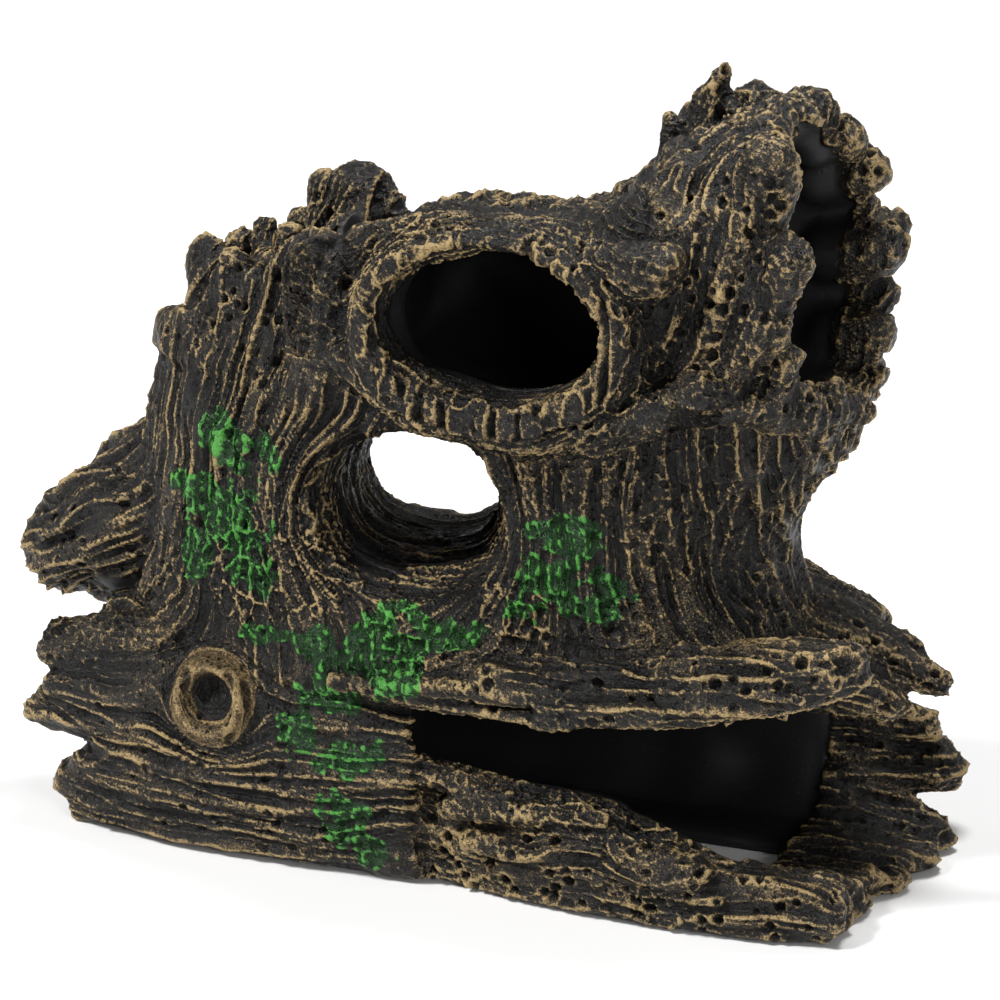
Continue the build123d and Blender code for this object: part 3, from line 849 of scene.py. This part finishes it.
def bark_material(name, tan=1.0):
    n = Nodes(name)
    place = n.put("ShaderNodeTexCoord").outputs["Object"]
    grain = n.attribute("grain", "Vector")
    core = n.attribute("core")
    moss = n.attribute("moss")
    pits = n.attribute("pits")
    speck = n.noise(place, 2600.0, 2.0, 0.6)
    patches = n.noise(place, 70.0, 4.0, 0.6)
    shake = n.math("MULTIPLY", n.math("SUBTRACT", n.noise(place, 900.0, 2.0), 0.5), 0.3)

    def line(value, width):
        bent = n.math("ADD", value, shake)
        return n.ramp(n.math("ABSOLUTE", bent), 0.0, width, 1.0, 0.0)

    # crest lines of the sculpted relief, and fibres and sponge-like pits finer than it
    strake = line(n.attribute("strake"), 0.18)
    coarse = line(n.attribute("coarse"), 0.22)
    fine = line(n.attribute("fine"), 0.28)
    cells = n.ramp(n.math("ADD", n.attribute("cells"), n.math("MULTIPLY", shake, 0.5)), 0.02, 0.16, 1.0, 0.0)
    hair = n.noise(n.scaled(grain, (1.5, 1.2, 0.16)), 1.0, 3.0, 0.6)
    hair = n.ramp(n.math("ABSOLUTE", n.math("SUBTRACT", hair, 0.5)), 0.0, 0.06, 1.0, 0.0)
    sponge = n.put("ShaderNodeTexVoronoi", Vector=place, Scale=620.0)
    sponge = n.ramp(sponge.outputs["Distance"], 0.17, 0.31, 1.0, 0.0)
    sponge = n.math("MULTIPLY", sponge, n.ramp(n.noise(place, 110.0, 2.0), 0.42, 0.62))
    lines = n.math("MAXIMUM", n.math("MULTIPLY", coarse, 0.85), n.math("MAXIMUM", strake, cells))
    lines = n.math("MAXIMUM", lines, n.math("MULTIPLY", fine, 0.6))
    lines = n.math("MAXIMUM", lines, n.math("MULTIPLY", hair, 0.36))
    # dry brushed paint on the lines and on what stands proud, broken up by specks
    sharp = n.ramp(n.attribute("edge"), 0.02, 0.14)
    broad = n.ramp(n.attribute("ridge"), 0.05, 0.5)
    raised = n.math("ADD", n.math("MULTIPLY", lines, 0.44), n.math("MULTIPLY", broad, 0.4))
    raised = n.math("ADD", raised, n.math("MULTIPLY", sharp, 0.26))
    raised = n.math("SUBTRACT", raised, n.math("MULTIPLY", sponge, 0.3))
    broken = n.math("ADD", n.math("MULTIPLY", n.math("SUBTRACT", speck, 0.5), 1.8),
                    n.math("MULTIPLY", n.math("SUBTRACT", patches, 0.5), 1.1))
    paint = n.math("ADD", raised, n.math("ADD", broken, 0.14 * (tan - 1)))
    paint = n.ramp(paint, 0.34, 1.12, 0.0, 0.95)
    # Base tone between charcoal and slate: lighter under the paint lines and in random patches, and through
    # the ridge attribute darker in hollows and lighter on ridges, which is painted shade and painted light.
    shade = n.math("ADD", n.math("MULTIPLY", raised, 0.5), n.math("MULTIPLY", patches, 0.6))
    shade = n.math("ADD", shade, n.ramp(n.attribute("ridge"), -0.25, 0.25, -0.3, 0.2))
    base = n.mix(n.ramp(shade, 0.2, 0.85), CHARCOAL, SLATE)
    tone = n.mix(n.ramp(n.math("ADD", speck, n.math("MULTIPLY", raised, 0.3)), 0.45, 0.9), TAN, PALE)
    colour = n.mix(paint, base, tone)
    # Painted shade: sunken places are darkened towards charcoal through the ridge attribute. The sponge pits
    # and the sculpted pits go to charcoal as well, and so does the knot's bore, painted dark as shade.
    valley_shade_and_pits = n.ramp(n.attribute("ridge"), -0.45, 0.05, 0.75, 0.0)
    valley_shade_and_pits = n.math("MAXIMUM", valley_shade_and_pits, n.math("MULTIPLY", sponge, 0.8))
    colour = n.mix(n.math("MAXIMUM", n.math("MULTIPLY", pits, 0.94), valley_shade_and_pits), colour, CHARCOAL)
    green = n.math("MULTIPLY", n.math("ADD", broad, sharp), 0.4)
    green = n.math("ADD", green, n.math("MULTIPLY", broken, 0.6))
    green = n.mix(n.ramp(green, 0.05, 1.0), MOSS_DARK, MOSS_LIGHT)
    cover = n.math("ADD", moss, n.math("MULTIPLY", n.math("ADD", broken, raised), 0.55))
    cover = n.math("MULTIPLY", n.ramp(cover, 0.68, 1.05), n.ramp(moss, 0.05, 0.3))
    colour = n.mix(cover, colour, green)
    colour = n.mix(core, colour, BLACK)
    n.feed(n.shader.inputs["Base Color"], colour)
    rough = n.math("ADD", 0.40, n.math("MULTIPLY", n.math("SUBTRACT", speck, 0.5), 0.5))
    rough = n.math("SUBTRACT", rough, n.math("MULTIPLY", cover, 0.12))
    rough = n.math("ADD", rough, n.math("MULTIPLY", core, 0.13))
    n.feed(n.shader.inputs["Roughness"], rough)
    # micro relief
    lift = n.math("ADD", n.math("MULTIPLY", lines, 0.8), n.math("MULTIPLY", speck, 0.7))
    lift = n.math("SUBTRACT", lift, n.math("MULTIPLY", sponge, 1.6))
    lift = n.math("MULTIPLY", lift, n.ramp(core, 0.0, 1.0, 1.0, 0.06))
    bump = n.put("ShaderNodeBump", Strength=1.0, Distance=0.0006, Height=lift)
    n.feed(n.shader.inputs["Normal"], bump.outputs[0])
    n.shader.inputs["Specular IOR Level"].default_value = 0.3
    return n.material


# ---- castings ------------------------------------------------------------------------------------
# The number is how much tan paint a material has, against 1 on plain bark.
SLOTS = {entry["node"]: entry["material_slot"] for entry in frame["record"]["subparts"]}
plain_bark = bark_material("bark_resin", 1.0)
rich_bark = bark_material("bark_resin_rich", 1.5)
knot_bark = bark_material("knot_resin", 6.0)
# The tunnel's bark gets little tan paint, so its inside is darker: painted shade.
tunnel_bark_painted_shade = bark_material("tunnel_resin_painted_shade", 0.2)
MATERIALS = {"resin_bark": plain_bark, "resin_sill": rich_bark, "resin_collar": rich_bark,
             "resin_knot": knot_bark, "resin_tunnel": tunnel_bark_painted_shade}
for node in NODES:
    piece = build(node, MATERIALS[SLOTS[node]])
    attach(piece, "root")
    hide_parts(node)


# ---- floor, light and camera ---------------------------------------------------------------------
def add_floor():
    size = 6.0
    mesh = bpy.data.meshes.new("floor")
    corners = [(-size, -size, 0), (size, -size, 0), (size, size, 0), (-size, size, 0)]
    mesh.from_pydata(corners, [], [(0, 1, 2, 3)])
    material = bpy.data.materials.new("floor_paper")
    material.use_nodes = True
    shader = material.node_tree.nodes["Principled BSDF"]
    shader.inputs["Base Color"].default_value = (0.9, 0.9, 0.9, 1)
    shader.inputs["Roughness"].default_value = 0.9
    mesh.materials.append(material)
    floor = bpy.data.objects.new("floor", mesh)
    floor.location.z = -0.0002
    bpy.context.scene.collection.objects.link(floor)


def add_light(name, place, target, size, power):
    data = bpy.data.lights.new(name, "AREA")
    data.shape = "DISK"
    data.size = size
    data.energy = power
    lamp = bpy.data.objects.new(name, data)
    lamp.location = place
    lamp.rotation_euler = (Vector(target) - Vector(place)).to_track_quat("-Z", "Y").to_euler()
    bpy.context.scene.collection.objects.link(lamp)


def add_sun(name, place, angle, strength):
    data = bpy.data.lights.new(name, "SUN")
    data.angle = math.radians(angle)
    data.energy = strength
    lamp = bpy.data.objects.new(name, data)
    lamp.rotation_euler = Vector(place).to_track_quat("Z", "Y").to_euler()
    bpy.context.scene.collection.objects.link(lamp)


def add_camera():
    azimuth, elevation, distance = math.radians(22.0), math.radians(17.0), 0.8
    target = Vector((0.0055, 0.0022, 0.073))
    back = Vector((
        math.sin(azimuth) * math.cos(elevation),
        -math.cos(azimuth) * math.cos(elevation),
        math.sin(elevation),
    ))
    data = bpy.data.cameras.new("camera")
    data.sensor_width = 36.0
    data.lens = 135.8
    camera = bpy.data.objects.new("camera", data)
    camera.location = target + back * distance
    camera.rotation_euler = back.to_track_quat("Z", "Y").to_euler()
    bpy.context.scene.collection.objects.link(camera)
    bpy.context.scene.camera = camera


add_floor()
add_sun("key", place=(-0.75, -0.7, 1.1), angle=14.0, strength=3.7)
add_light("fill", place=(0.7, -0.8, 0.4), target=(0, 0, 0.08), size=0.3, power=3.2)
add_light("top", place=(0.1, 0.25, 0.9), target=(0, 0, 0.08), size=0.35, power=7.0)
world = bpy.data.worlds.new("studio")
world.use_nodes = True
world.node_tree.nodes["Background"].inputs["Color"].default_value = (1, 1, 1, 1)
world.node_tree.nodes["Background"].inputs["Strength"].default_value = 0.19
bpy.context.scene.world = world
bpy.context.scene.view_settings.view_transform = "Standard"
add_camera()
